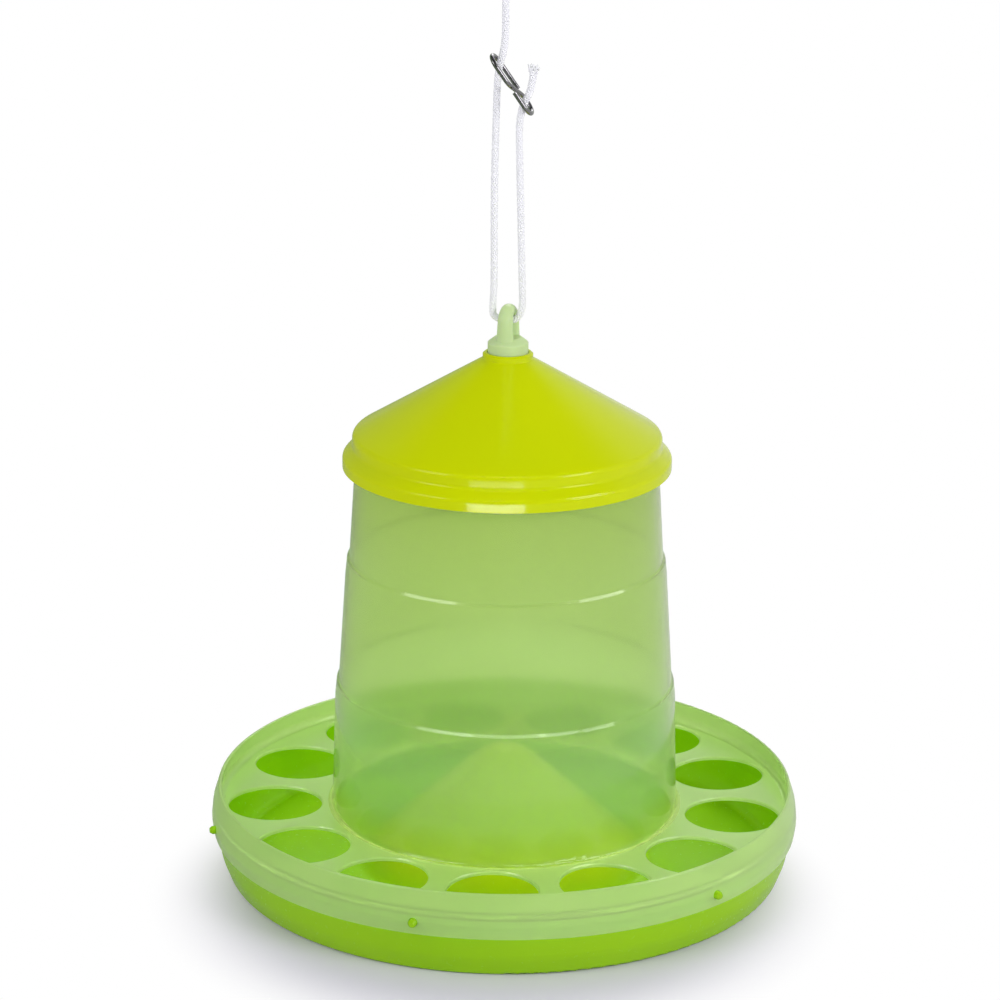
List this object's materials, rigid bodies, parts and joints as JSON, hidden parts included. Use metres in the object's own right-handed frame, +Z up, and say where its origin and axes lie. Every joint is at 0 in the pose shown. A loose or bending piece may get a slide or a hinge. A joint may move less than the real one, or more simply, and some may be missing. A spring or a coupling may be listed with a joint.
{
  "type": "poultry feeder",
  "caption": "Hanging poultry feeder: cone lid, stepped translucent hopper with feed ring, opaque base pan with feed cone, and a rope with an S-hook to set its height.",
  "frame": {"origin": "on the surface the feeder stands on, under the middle of the base pan", "axes": "+Z up along the axis of hopper, ring and lid; +X to the right and +Y away in the picture's view"},
  "size_m": [0.3316, 0.3316, 0.56],
  "materials": {
    "pan_green": "opaque leaf-green injection-moulded polypropylene, semi-gloss",
    "hopper_green": "milky translucent pale green polypropylene, soft gloss",
    "lid_lime": "slightly translucent saturated lime polypropylene, soft gloss",
    "hanger_green": "milky translucent pale green polypropylene, soft gloss",
    "hook_zinc": "bright zinc-plated steel wire",
    "rope_white": "white braided synthetic cord with a fine dotted braid"
  },
  "bodies": {
    "root": {"base_pan": "pan_green", "hopper": "hopper_green", "lid": "lid_lime", "hanger": "hanger_green", "s_hook": "hook_zinc", "rope": "rope_white", "rope_knot": "rope_white", "rope_loop": "rope_white"}
  },
  "joints": []
}
